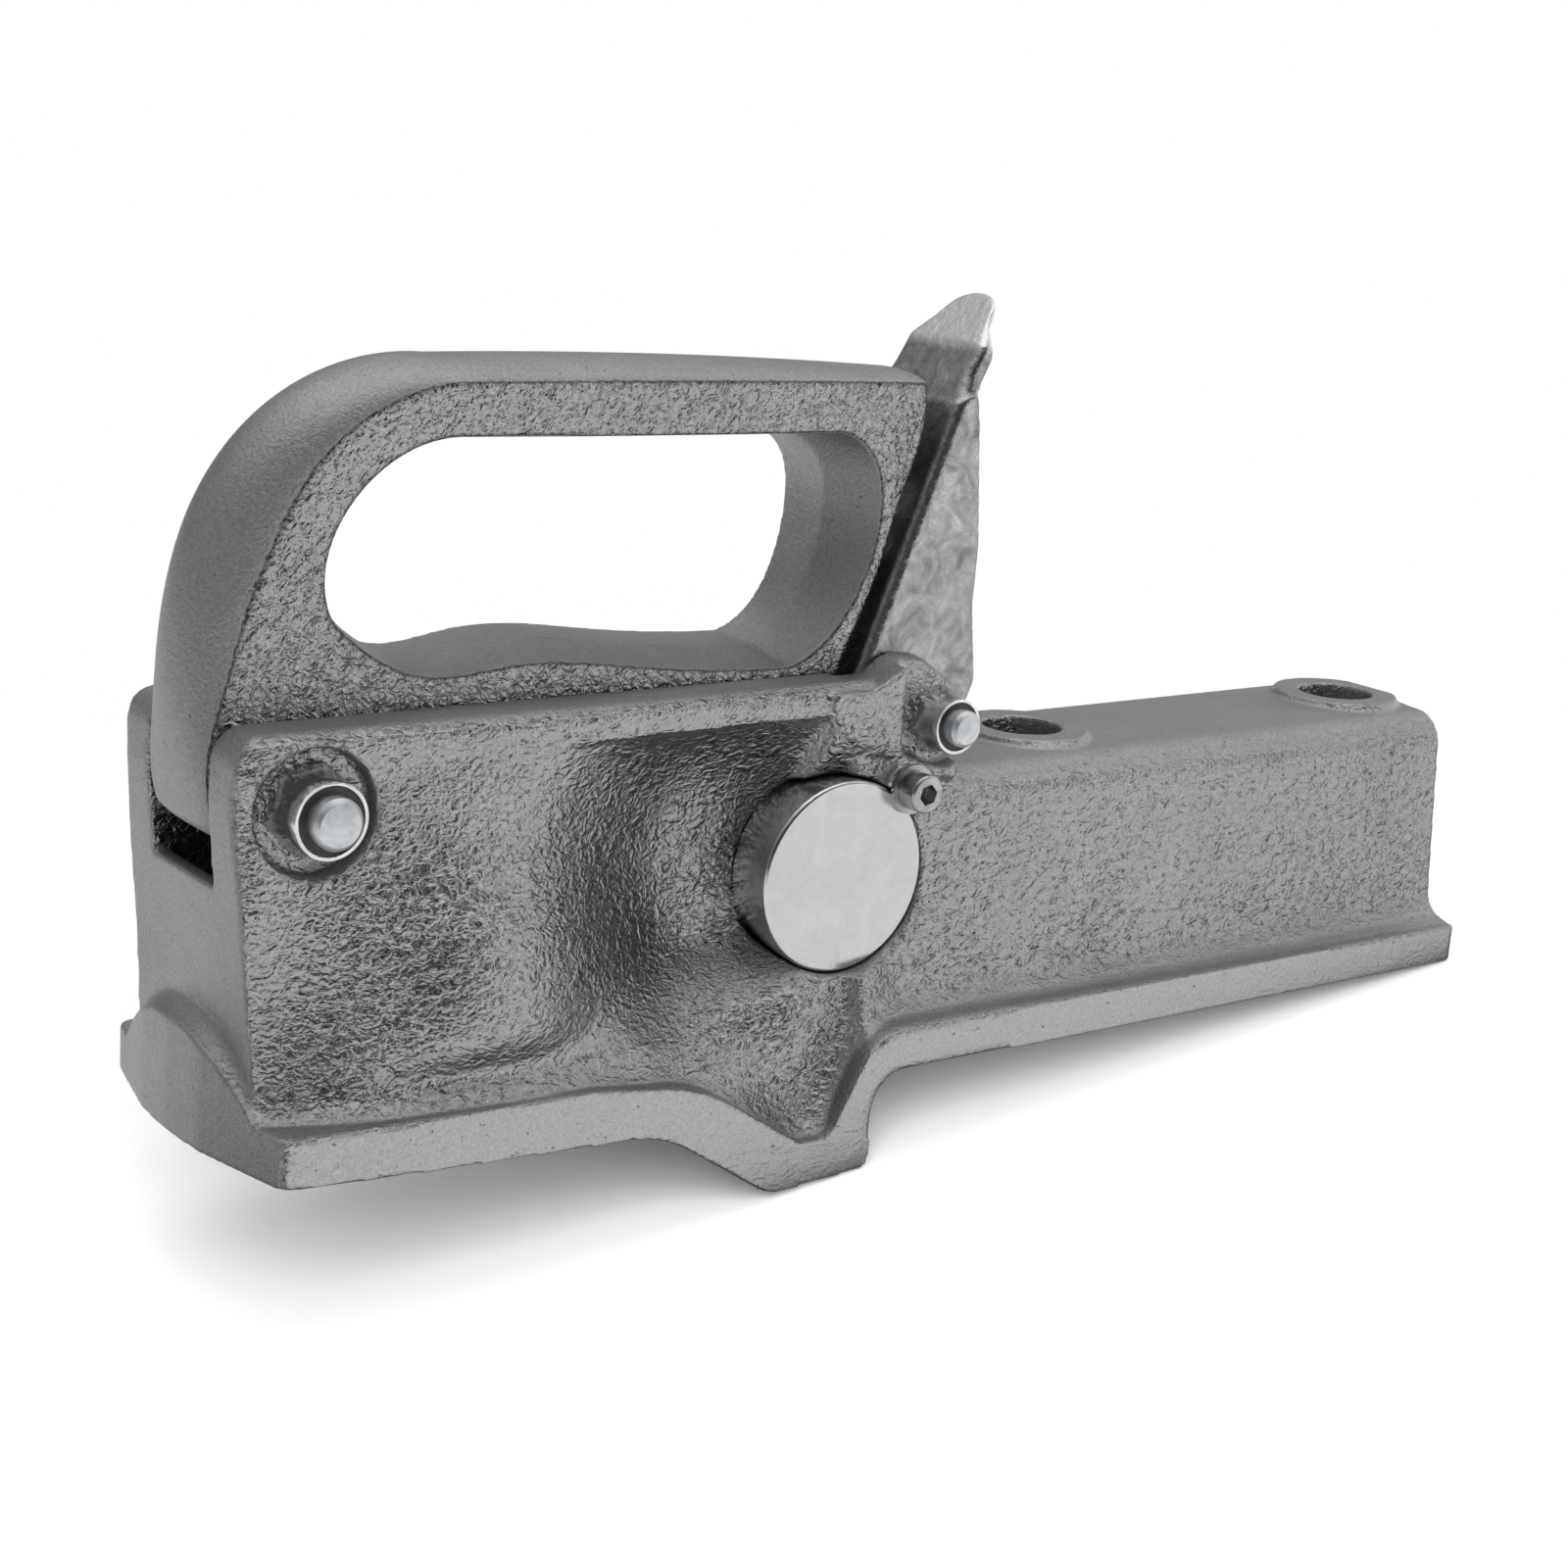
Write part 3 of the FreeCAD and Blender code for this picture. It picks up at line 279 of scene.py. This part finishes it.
def cast_paint(name, ridge_height, stretch, crisp):
    """Silver paint on a rough casting: hammered side faces, smoother edges, a ground rim band.

    The stretch makes the lumps longer along the part. A crisp side face lies under a rough edge."""
    material, tree = new_material(name)
    where = object_place(tree)
    placed = (add(tree, "Mapping", {"Vector": where, "Scale": (1 / stretch, 1.0, 1.0)}), 0)

    # Where the paint is hammered, where a line of painted shade follows its edge, and where it is ground
    # off
    crumble = noise_of(tree, where, CRUMBLE_SCALE, 3.0, 0.65)
    edge = math_of(tree, "ADD", attribute(tree, "side"), math_of(tree, "MULTIPLY_ADD", crumble, 0.5, -0.25))
    side = soft_step(tree, edge, *((0.45, 0.60) if crisp else (0.05, 0.95)))
    # Painted shade: a dark line just inside the edge of a crisp side face, which lies under the rough edge
    line = product(tree, side, soft_step(tree, edge, 0.92, 0.66))
    ground = attribute(tree, "ground")
    rough_side = product(tree, side, opposite(tree, ground))

    grain = noise_of(tree, where, GRAIN_SCALE, 3.0, 0.7)
    # Pits are sunk in and made darker
    pits = soft_step(tree, noise_of(tree, where, PIT_SCALE, 3.0, 0.7), 0.34, 0.27)
    # Flecks are sunk in and painted dark: painted shade for the tiny shadows under the lumps
    flecks = soft_step(tree, noise_of(tree, placed, FLECK_SCALE, 2.0, 0.6, 0.5), 0.37, 0.30)
    flecks = product(tree, flecks, rough_side)

    patches = soft_step(tree, noise_of(tree, where, PATCH_SCALE), 0.30, 0.62)
    ridges = product(tree, rough_side, ridge_height)
    ridges = product(tree, ridges, blend_of(tree, patches, 0.70, 1.20))
    ridges = math_of(tree, "ADD", ridges, blend_of(tree, ground, SMOOTH_RIDGE, GROUND_RIDGE))
    height = product(tree, hammered(tree, placed), ridges)
    if crisp:
        height = raised(tree, height, side, -SIDE_DROP)
    height = raised(tree, height, noise_of(tree, where, BROAD_SCALE), BROAD_WAVE)
    height = raised(tree, height, grain, blend_of(tree, side, GRAIN_SMOOTH, GRAIN_SIDE))
    height = raised(tree, height, pits, -PIT_DEPTH)
    height = raised(tree, height, flecks, -FLECK_DEPTH)

    tone = noise_of(tree, where, TONE_SCALE, 3.0, 0.6)
    colour = ramp(tree, tone, [(0.3, grey(PAINT_DARK)), (0.7, grey(PAINT_PALE, -0.005))])
    colour = mixed(tree, ground, colour, grey(PAINT_GROUND))
    speckle = add(tree, "MapRange", {"Value": grain, "From Min": 0.35, "From Max": 0.65,
                                     "To Min": GRAIN_TONES[0], "To Max": GRAIN_TONES[1]})
    sanded = add(tree, "VectorMath", {0: colour, 1: (speckle, 0)}, operation="MULTIPLY")
    # Darkening of the colour: darker in the sunken pits, and painted shade in the flecks and in the edge
    # line
    pits_and_shade = math_of(tree, "MAXIMUM", product(tree, pits, PIT_DARKEN), product(tree, flecks, FLECK_SHADE))
    if crisp:
        pits_and_shade = math_of(tree, "MAXIMUM", pits_and_shade, product(tree, line, LINE_SHADE))
    polish = blend_of(tree, side, SMOOTH_ROUGHNESS, SIDE_ROUGHNESS)
    finish_material(tree, {"Base Color": mixed(tree, pits_and_shade, (sanded, 0), grey(PIT_AND_SHADE_LEVEL)), "Metallic": 1.0,
                           "Roughness": blend_of(tree, ground, polish, GROUND_ROUGHNESS),
                           "Normal": bump(tree, height, 1.0)})
    return material


def plain_metal(name, level, warm, rough, blotch=0.06, waves=0.02 * MM, highlight_from=None):
    """Plated metal with soft blotches, a faint grain and small waves, with a painted highlight above a
    height.
    """
    material, tree = new_material(name)
    where = object_place(tree)
    tone = noise_of(tree, where, BLOTCH_SCALE, 5.0, 0.68, 0.9)
    colour = ramp(tree, tone, [(0.32, grey(level - blotch, warm)), (0.52, grey(level, warm)),
                               (0.70, grey(level + blotch, warm))])
    if highlight_from:
        # Painted highlight: the metal turns paler above a height, standing in for light on the top
        top = soft_step(tree, part_of(tree, where, "Z"), *highlight_from)
        colour = mixed(tree, product(tree, top, HIGHLIGHT_SHARE), colour, grey(HIGHLIGHT_LEVEL, warm))
    polish = ramp(tree, tone, [(0.3, rough * 1.3), (0.7, rough * 0.8)])
    height = product(tree, noise_of(tree, where, BRUSH_SCALE), BRUSH_HEIGHT)
    height = raised(tree, height, noise_of(tree, where, WAVE_SCALE, 3.0, 0.6), waves)
    finish_material(tree, {"Base Color": colour, "Metallic": 1.0, "Roughness": polish,
                           "Normal": bump(tree, height, 1.0)})
    return material


def nylon(name):
    material, tree = new_material(name)
    tone = noise_of(tree, object_place(tree), 900.0, 3.0)
    colour = ramp(tree, tone, [(0.3, 0.010), (0.7, 0.020)])
    finish_material(tree, {"Base Color": colour, "Roughness": 0.38,
                           "Normal": bump(tree, tone, 0.02 * MM)})
    return material


# Look meshes

def new_object(name, data):
    obj = bpy.data.objects.new(name, data)
    bpy.context.scene.collection.objects.link(obj)
    return obj


def merged_copy(name, flat_angle=None):
    """Mesh of a CAD node with its corners joined and, with an angle, its flat faces made whole."""
    mesh = bpy.data.meshes.new(name + "_look")
    corners = bmesh.new()
    corners.from_mesh(NODES[name].data)
    bmesh.ops.remove_doubles(corners, verts=corners.verts, dist=JOIN_WITHIN)
    if flat_angle:
        bmesh.ops.dissolve_limit(corners, angle_limit=flat_angle, verts=corners.verts, edges=corners.edges)
    corners.to_mesh(mesh)
    corners.free()
    return mesh


def evaluated(obj):
    """Applies the modifiers of an object."""
    view = bpy.context.evaluated_depsgraph_get()
    mesh = bpy.data.meshes.new_from_object(obj.evaluated_get(view))
    obj.modifiers.clear()
    obj.data = mesh
    return mesh


def points_of(mesh):
    places = np.empty(len(mesh.vertices) * 3, np.float32)
    mesh.vertices.foreach_get("co", places)
    return places.reshape(-1, 3)


def normals_of(mesh):
    normals = np.empty(len(mesh.vertices) * 3, np.float32)
    mesh.vertex_normals.foreach_get("vector", normals)
    return normals.reshape(-1, 3)


def store(mesh, name, values):
    mesh.attributes.new(name, "FLOAT", "POINT").data.foreach_set("value", values.astype(np.float32))


def smooth_step(values, low, high):
    share = np.clip((values - low) / (high - low), 0, 1)
    return share * share * (3 - 2 * share)


def spread(mesh, values, rounds):
    """Values averaged with their neighbours, so that they tell how near an edge is."""
    ends = np.empty(len(mesh.edges) * 2, np.int32)
    mesh.edges.foreach_get("vertices", ends)
    first, second = ends.reshape(-1, 2).T
    count = np.bincount(ends, minlength=len(values)) + 1
    for _ in range(rounds):
        total = values + np.bincount(first, values[second], len(values))
        total += np.bincount(second, values[first], len(values))
        values = total / count
    return values


def nearest(points, targets):
    """For each target, the number of the point next to it."""
    tree = KDTree(len(points))
    for i, point in enumerate(points):
        tree.insert(point, i)
    tree.balance()
    return [tree.find(target)[1] for target in targets]


def make_smooth(mesh):
    for face in mesh.polygons:
        face.use_smooth = True


def take_over(obj, name, material):
    """The look mesh stands for its CAD node, on the same body and with the same finish."""
    make_smooth(obj.data)
    obj.data.materials.clear()
    obj.data.materials.append(material)
    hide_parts(name)
    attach(obj, body_name(name))


def add_smoothing(obj, factor, iterations=1, group=""):
    step = obj.modifiers.new("smooth", "SMOOTH")
    step.factor = factor
    step.iterations = iterations
    step.vertex_group = group


def recast(name, voxel, rounds, faces, material, masks, blends=(), shaped=None, relief=1.0):
    """Look mesh of a casting: its solid remeshed finely, its edges rounded, then thinned.

    Each blend is a box where the faces run into each other with a larger round. Each mask is an
    attribute of the paint, given by a function and the rounds that spread it. The relief deepens
    the shading of slopes on the side faces."""
    obj = new_object(name + "_cast", merged_copy(name))
    grid = obj.modifiers.new("grid", "REMESH")
    grid.mode = "VOXEL"
    grid.voxel_size = voxel
    mesh = evaluated(obj)
    if shaped:
        mesh.vertices.foreach_set("co", shaped(points_of(mesh)).astype(np.float32).ravel())
    for factor in SMOOTH_AND_BACK * 2 + (ROUNDING,) * rounds:
        add_smoothing(obj, factor)
    for low, high, iterations in blends:
        places = points_of(mesh)
        inside = np.all((places > np.array(low) * MM) & (places < np.array(high) * MM), axis=1)
        group = obj.vertex_groups.new(name="blend")
        group.add(np.flatnonzero(inside).tolist(), 1.0, "REPLACE")
        add_smoothing(obj, ROUNDING, iterations, group.name)
    dense = evaluated(obj)
    dense_points, dense_normals = points_of(dense), normals_of(dense)
    thin = obj.modifiers.new("thin", "DECIMATE")
    thin.ratio = min(1.0, faces / (2.0 * len(dense.polygons)))
    mesh = evaluated(obj)
    places = points_of(mesh)
    normals = dense_normals[nearest(dense_points, places)] * 1.0
    if relief != 1.0:
        facing = smooth_step(np.abs(normals[:, 1]), 0.55, 0.80)[:, None]
        normals *= 1 + facing * (np.array((relief, 1.0, relief)) - 1)
        normals /= np.linalg.norm(normals, axis=1)[:, None]
    take_over(obj, name, material)
    mesh.normals_split_custom_set_from_vertices(normals.tolist())
    for mask, (values, spreads) in masks.items():
        store(mesh, mask, spread(mesh, values(places, normals), spreads))


def rim_band(places, normals):
    """1 on the side of the rim, where the paint is ground off."""
    out = smooth_step(np.abs(places[:, 1]), *RIM_SIDE)
    below = smooth_step(-places[:, 2], *RIM_BELOW)
    return out * below * smooth_step(np.abs(normals[:, 1]), 0.7, 0.9)


def facing_sides(places, normals):
    """Share of hammered skin, by how far a face looks to the sides."""
    return np.clip((np.abs(normals[:, 1]) - 0.30) / 0.50, 0, 1)


def flat_sides(places, normals):
    """1 on the handle's flat sides, inside their edges."""
    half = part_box("handle")[1][1]
    inside = np.clip((np.abs(places[:, 1]) - half + SIDE_MARGIN) / SIDE_SOFT, 0, 1)
    return inside * (np.abs(normals[:, 1]) > 0.5)


def round_tip(places):
    """The latch's thumb tab ends in a half round."""
    along = np.array((math.cos(TAB_LEAN), 0.0, math.sin(TAB_LEAN)))
    reach = places @ along
    tip = reach.max()
    share = smooth_step(reach, tip - TAB_RUN, tip)
    radius = np.abs(places[reach > tip - TIP_BAND, 1]).max()
    across = np.clip(np.abs(places[:, 1]) / radius, 0, 0.995)
    drop = TIP_ROUND * (1 - np.sqrt(1 - across * across)) * share
    return places - drop[:, None] * along


def softened(name, width, material):
    """Look mesh of a turned or pressed piece, with small bevels along its edges."""
    obj = new_object(name + "_look", merged_copy(name, math.radians(1.0)))
    make_smooth(obj.data)
    bevel = obj.modifiers.new("bevel", "BEVEL")
    bevel.width = width
    bevel.segments = 2
    bevel.limit_method = "ANGLE"
    bevel.angle_limit = math.radians(32)
    bevel.harden_normals = True
    evaluated(obj)
    take_over(obj, name, material)


# Stage: floor, world, lamps and camera

def floor_material():
    """White round the part, with its shadow; in reflections bright, with a painted shadow close under the
    part.
    """
    material, tree = new_material("pale_floor")
    path = add(tree, "LightPath")
    place = object_place(tree)
    offset = (add(tree, "VectorMath", {0: place, 1: WHITE_CENTRE}, operation="SUBTRACT"), 0)
    reach = (add(tree, "VectorMath", {0: offset}, operation="LENGTH"), "Value")
    shadowed = add(tree, "BsdfDiffuse", {"Color": grey(FLOOR_GAIN)})
    white = add(tree, "Emission", {"Color": grey(1.0), "Strength": 1.0})
    seen = add(tree, "MixShader", {0: soft_step(tree, reach, *WHITE_FROM), 1: (shadowed, 0), 2: (white, 0)})

    # Painted shadow in reflections: the floor's glow drops to a dark level in a strip close under the part
    across = math_of(tree, "ABSOLUTE", part_of(tree, place, "Y"))
    level = blend_of(tree, soft_step(tree, across, *UNDER_SHADOW_EDGE), UNDER_SHADOW_LEVEL, BESIDE_LEVEL)
    mirrored = add(tree, "Emission", {"Color": grey(1.0), "Strength": level})
    soft = add(tree, "BsdfDiffuse", {"Color": grey(FLOOR_SOFT)})
    unseen = add(tree, "MixShader", {0: (path, "Is Glossy Ray"), 1: (soft, 0), 2: (mirrored, 0)})
    surface = add(tree, "MixShader", {0: (path, "Is Camera Ray"), 1: (unseen, 0), 2: (seen, 0)})
    add(tree, "OutputMaterial", {"Surface": (surface, 0)})
    return material


def make_floor():
    along = (REAR_FOOT - LOBE_FOOT).normalized()
    across = Vector((0, 1, 0))
    up = along.cross(across)
    mesh = bpy.data.meshes.new("floor")
    corners = [(FLOOR_HALF * x, FLOOR_HALF * y, 0) for x, y in ((-1, -1), (1, -1), (1, 1), (-1, 1))]
    mesh.from_pydata(corners, [], [(0, 1, 2, 3)])
    mesh.materials.append(floor_material())
    floor = new_object("floor", mesh)
    floor.matrix_world = Matrix.Translation(LOBE_FOOT) @ Matrix((along, across, up)).transposed().to_4x4()


def make_world():
    """White to the camera; in reflections a bright top, a low bright side and dark corners."""
    world = bpy.data.worlds.new("studio")
    bpy.context.scene.world = world
    world.use_nodes = True
    tree = world.node_tree
    tree.nodes.clear()
    path = add(tree, "LightPath")
    view = (add(tree, "TexCoord"), "Generated")

    def zone(direction, start, full, gain):
        towards = add(tree, "VectorMath", {0: view, 1: direction}, operation="DOT_PRODUCT")
        return product(tree, soft_step(tree, (towards, "Value"), start, full), gain)

    level = WORLD_LEVEL
    for bright in BRIGHT_ZONES:
        level = math_of(tree, "ADD", zone(*bright), level)
    for dark in DARK_ZONES:
        level = product(tree, level, opposite(tree, zone(*dark)))
    mirrored = add(tree, "Background", {"Color": grey(1.0), "Strength": level})
    soft = add(tree, "Background", {"Color": grey(1.0), "Strength": WORLD_SOFT})
    white = add(tree, "Background", {"Color": grey(1.0), "Strength": 1.0})
    unseen = add(tree, "MixShader", {0: (path, "Is Glossy Ray"), 1: (soft, 0), 2: (mirrored, 0)})
    shown = math_of(tree, "MAXIMUM", (path, "Is Camera Ray"), (path, "Is Transmission Ray"))
    surface = add(tree, "MixShader", {0: shown, 1: (unseen, 0), 2: (white, 0)})
    add(tree, "OutputWorld", {"Surface": (surface, 0)})


def make_lamp(name, at, target, size, watts, mirrored):
    data = bpy.data.lights.new(name, "AREA")
    data.shape = "DISK"
    data.size = size
    data.energy = watts
    lamp = new_object(name, data)
    lamp.location = at
    lamp.rotation_mode = "QUATERNION"
    lamp.rotation_quaternion = (Vector(target) - Vector(at)).to_track_quat("-Z", "Y")
    lamp.visible_glossy = mirrored


def make_camera():
    data = bpy.data.cameras.new("camera")
    data.lens = CAMERA_LENS
    data.sensor_width = SENSOR_WIDTH
    data.clip_start, data.clip_end = CAMERA_CLIP
    camera = new_object("camera", data)
    a, e = math.radians(CAMERA_AZIMUTH), math.radians(CAMERA_ELEVATION)
    back = Vector((math.sin(a) * math.cos(e), -math.cos(a) * math.cos(e), math.sin(e)))
    turn = (-back).to_track_quat("-Z", "Y").to_matrix()
    roll = Matrix.Rotation(math.radians(CAMERA_ROLL), 3, "Z")
    camera.matrix_world = Matrix.Translation(CAMERA_AT) @ (turn @ roll).to_4x4()
    bpy.context.scene.camera = camera


bpy.context.scene.view_settings.view_transform = "Standard"
make_camera()
make_floor()
make_world()
for name, lamp in LAMPS.items():
    make_lamp(name, *lamp)

# Finish by name, and the finish of each node that has none of its own
FINISH = {
    "coupling_body": cast_paint("cast_paint", BODY_RIDGE, 1.4, False),
    "handle": cast_paint("cast_paint_handle", HANDLE_RIDGE, 1.0, True),
    "cross_pin": plain_metal("nickel", 0.59, 0.005, 0.20, 0.035),
    # The latch's zinc carries a painted highlight on the top of its thumb tab
    "latch_lever": plain_metal("mottled_zinc", 0.36, 0.015, 0.30, 0.16, 0.34 * MM, TAB_HIGHLIGHT),
    "zinc": plain_metal("bright_zinc", 0.74, 0.02, 0.20, 0.08),
    "screw": plain_metal("dull_zinc", 0.42, 0.01, 0.30, 0.10),
    "blue": plain_metal("bluish_zinc", 0.66, -0.035, 0.42, 0.12, 0.10 * MM),
    "ring": nylon("black_nylon"),
    "dark": plain_metal("oiled_steel", 0.16, 0.0, 0.35, 0.03),
    "bronze": plain_metal("bronze", 0.35, 0.25, 0.35),
}
WEARS = {
    "handle_pivot_nut": "zinc", "latch_pivot_nut": "zinc", "handle_pivot_washer": "zinc",
    "latch_pivot_washer": "zinc", "handle_pivot_bolt": "blue", "latch_pivot_bolt": "blue",
    "handle_nut_ring": "ring", "latch_nut_ring": "ring", "pin_screw": "screw", "pin_washer": "screw",
    "latch_spring": "dark", "jaw_spring": "dark", "pin_circlip": "dark", "ball_jaw": "dark",
    "jaw_bush": "bronze", "handle_bush": "bronze", "latch_bush": "zinc",
}
for name, node in NODES.items():
    node.data.materials.clear()
    node.data.materials.append(FINISH[WEARS.get(name, name)])

recast("coupling_body", 0.6 * MM, 4, 180000, FINISH["coupling_body"],
       {"side": (facing_sides, 1), "ground": (rim_band, 0)}, LOBE_BLENDS, relief=BODY_RELIEF)
recast("handle", 0.64 * MM, 1, 195000, FINISH["handle"], {"side": (flat_sides, 5)})
recast("latch_lever", 0.4 * MM, 2, 80000, FINISH["latch_lever"], {}, TAB_BLEND, round_tip)
for name in ("handle_pivot_nut", "latch_pivot_nut", "handle_pivot_bolt", "latch_pivot_bolt", "cross_pin",
             "pin_screw", "handle_pivot_washer", "latch_pivot_washer"):
    softened(name, EDGE_BEVEL, FINISH[WEARS.get(name, name)])
